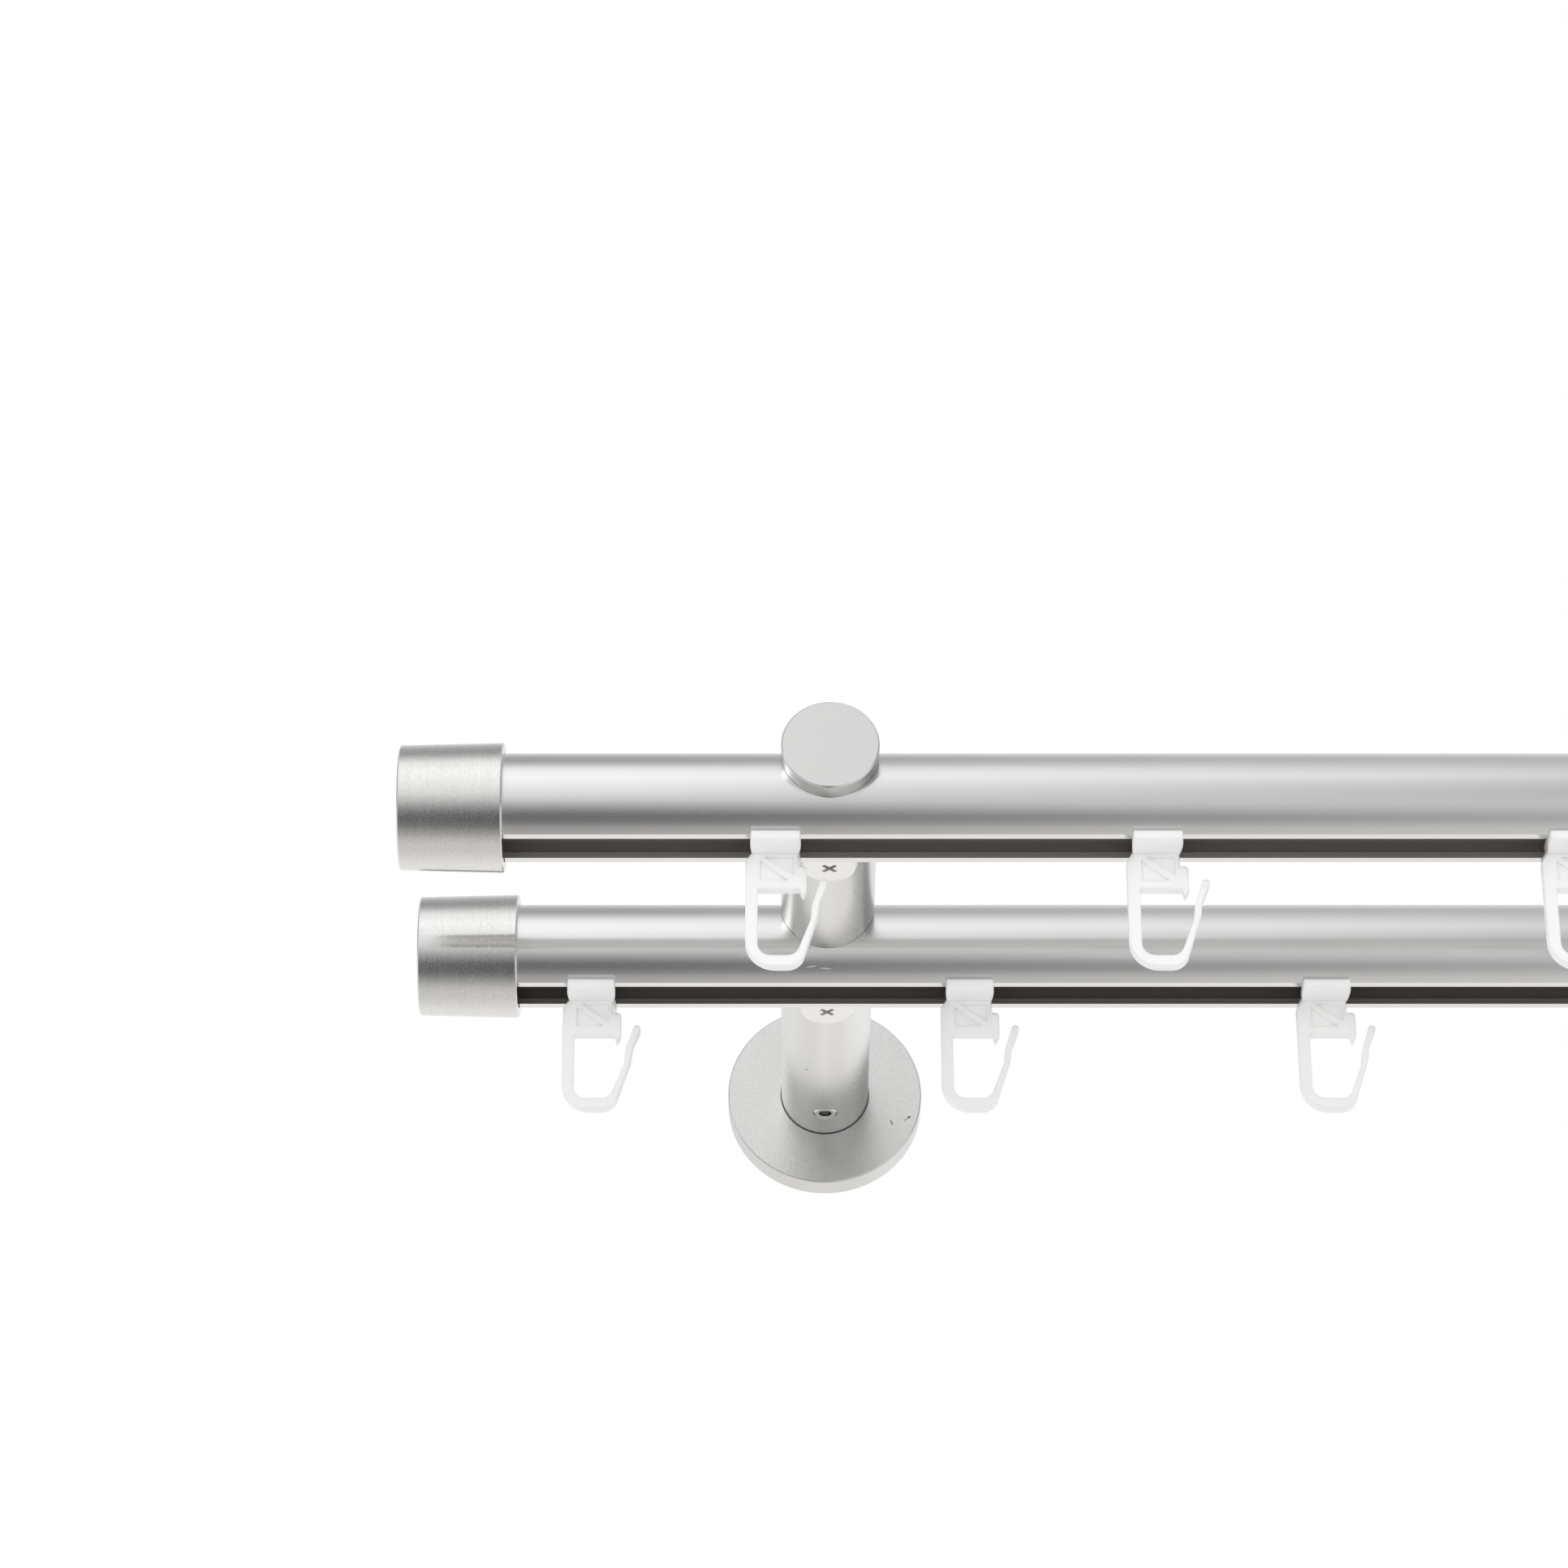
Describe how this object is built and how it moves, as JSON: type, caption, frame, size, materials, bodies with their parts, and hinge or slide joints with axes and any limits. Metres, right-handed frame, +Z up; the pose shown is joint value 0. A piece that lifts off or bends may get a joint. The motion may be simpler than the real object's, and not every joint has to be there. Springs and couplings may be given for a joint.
{
  "type": "double curtain pole",
  "caption": "Double curtain pole: two slotted round poles on notched wall arms, with end caps and sliding plastic hook gliders.",
  "frame": {"origin": "on the wall, midway between the two brackets, at the height of the arms' axes: the centre of the four wall screw holes", "axes": "+X along the poles, +Y into the wall, +Z up"},
  "size_m": [0.8038, 0.1534, 0.0589],
  "materials": {
    "pole_metal": "satin",
    "cap_metal": "satin",
    "bracket_metal": "satin",
    "rosette_metal": "satin",
    "plate_metal": "plain",
    "clamp_screw_steel": "satin",
    "grub_screw_steel": "bright",
    "glider_plastic": "satin"
  },
  "bodies": {
    "poles_and_brackets": {"front_pole": "pole_metal", "front_cap_left": "cap_metal", "front_cap_right": "cap_metal", "rear_pole": "pole_metal", "rear_cap_left": "cap_metal", "rear_cap_right": "cap_metal", "left_arm": "bracket_metal", "left_rosette": "rosette_metal", "left_wall_plate": "plate_metal", "left_grub_screw": "grub_screw_steel", "left_front_clamp_screw": "clamp_screw_steel", "left_rear_clamp_screw": "clamp_screw_steel", "right_arm": "bracket_metal", "right_rosette": "rosette_metal", "right_wall_plate": "plate_metal", "right_grub_screw": "grub_screw_steel", "right_front_clamp_screw": "clamp_screw_steel", "right_rear_clamp_screw": "clamp_screw_steel"},
    "front_glider_01": {"front_glider_01": "glider_plastic"},
    "front_glider_02": {"front_glider_02": "glider_plastic"},
    "front_glider_03": {"front_glider_03": "glider_plastic"},
    "front_glider_04": {"front_glider_04": "glider_plastic"},
    "front_glider_05": {"front_glider_05": "glider_plastic"},
    "front_glider_06": {"front_glider_06": "glider_plastic"},
    "front_glider_07": {"front_glider_07": "glider_plastic"},
    "front_glider_08": {"front_glider_08": "glider_plastic"},
    "front_glider_09": {"front_glider_09": "glider_plastic"},
    "front_glider_10": {"front_glider_10": "glider_plastic"},
    "rear_glider_01": {"rear_glider_01": "glider_plastic"},
    "rear_glider_02": {"rear_glider_02": "glider_plastic"},
    "rear_glider_03": {"rear_glider_03": "glider_plastic"},
    "rear_glider_04": {"rear_glider_04": "glider_plastic"},
    "rear_glider_05": {"rear_glider_05": "glider_plastic"},
    "rear_glider_06": {"rear_glider_06": "glider_plastic"},
    "rear_glider_07": {"rear_glider_07": "glider_plastic"},
    "rear_glider_08": {"rear_glider_08": "glider_plastic"},
    "rear_glider_09": {"rear_glider_09": "glider_plastic"},
    "rear_glider_10": {"rear_glider_10": "glider_plastic"}
  },
  "joints": [
    {"name": "front_glider_01_slide", "type": "slide", "parent": "poles_and_brackets", "child": "front_glider_01", "axis": [1, 0, 0], "range_m": [-0.0438, 0.0268]},
    {"name": "front_glider_02_slide", "type": "slide", "parent": "poles_and_brackets", "child": "front_glider_02", "axis": [1, 0, 0], "range_m": [-0.0268, 0.0299]},
    {"name": "front_glider_03_slide", "type": "slide", "parent": "poles_and_brackets", "child": "front_glider_03", "axis": [1, 0, 0], "range_m": [-0.0299, 0.029]},
    {"name": "front_glider_04_slide", "type": "slide", "parent": "poles_and_brackets", "child": "front_glider_04", "axis": [1, 0, 0], "range_m": [-0.029, 0.029]},
    {"name": "front_glider_05_slide", "type": "slide", "parent": "poles_and_brackets", "child": "front_glider_05", "axis": [1, 0, 0], "range_m": [-0.029, 0.029]},
    {"name": "front_glider_06_slide", "type": "slide", "parent": "poles_and_brackets", "child": "front_glider_06", "axis": [1, 0, 0], "range_m": [-0.029, 0.029]},
    {"name": "front_glider_07_slide", "type": "slide", "parent": "poles_and_brackets", "child": "front_glider_07", "axis": [1, 0, 0], "range_m": [-0.029, 0.029]},
    {"name": "front_glider_08_slide", "type": "slide", "parent": "poles_and_brackets", "child": "front_glider_08", "axis": [1, 0, 0], "range_m": [-0.029, 0.029]},
    {"name": "front_glider_09_slide", "type": "slide", "parent": "poles_and_brackets", "child": "front_glider_09", "axis": [1, 0, 0], "range_m": [-0.029, 0.029]},
    {"name": "front_glider_10_slide", "type": "slide", "parent": "poles_and_brackets", "child": "front_glider_10", "axis": [1, 0, 0], "range_m": [-0.029, 0.0473]},
    {"name": "rear_glider_01_slide", "type": "slide", "parent": "poles_and_brackets", "child": "rear_glider_01", "axis": [1, 0, 0], "range_m": [-0.00825, 0.02843]},
    {"name": "rear_glider_02_slide", "type": "slide", "parent": "poles_and_brackets", "child": "rear_glider_02", "axis": [1, 0, 0], "range_m": [-0.02843, 0.0263]},
    {"name": "rear_glider_03_slide", "type": "slide", "parent": "poles_and_brackets", "child": "rear_glider_03", "axis": [1, 0, 0], "range_m": [-0.0263, 0.029]},
    {"name": "rear_glider_04_slide", "type": "slide", "parent": "poles_and_brackets", "child": "rear_glider_04", "axis": [1, 0, 0], "range_m": [-0.029, 0.029]},
    {"name": "rear_glider_05_slide", "type": "slide", "parent": "poles_and_brackets", "child": "rear_glider_05", "axis": [1, 0, 0], "range_m": [-0.029, 0.029]},
    {"name": "rear_glider_06_slide", "type": "slide", "parent": "poles_and_brackets", "child": "rear_glider_06", "axis": [1, 0, 0], "range_m": [-0.029, 0.029]},
    {"name": "rear_glider_07_slide", "type": "slide", "parent": "poles_and_brackets", "child": "rear_glider_07", "axis": [1, 0, 0], "range_m": [-0.029, 0.029]},
    {"name": "rear_glider_08_slide", "type": "slide", "parent": "poles_and_brackets", "child": "rear_glider_08", "axis": [1, 0, 0], "range_m": [-0.029, 0.029]},
    {"name": "rear_glider_09_slide", "type": "slide", "parent": "poles_and_brackets", "child": "rear_glider_09", "axis": [1, 0, 0], "range_m": [-0.029, 0.029]},
    {"name": "rear_glider_10_slide", "type": "slide", "parent": "poles_and_brackets", "child": "rear_glider_10", "axis": [1, 0, 0], "range_m": [-0.029, 0.0868]}
  ]
}
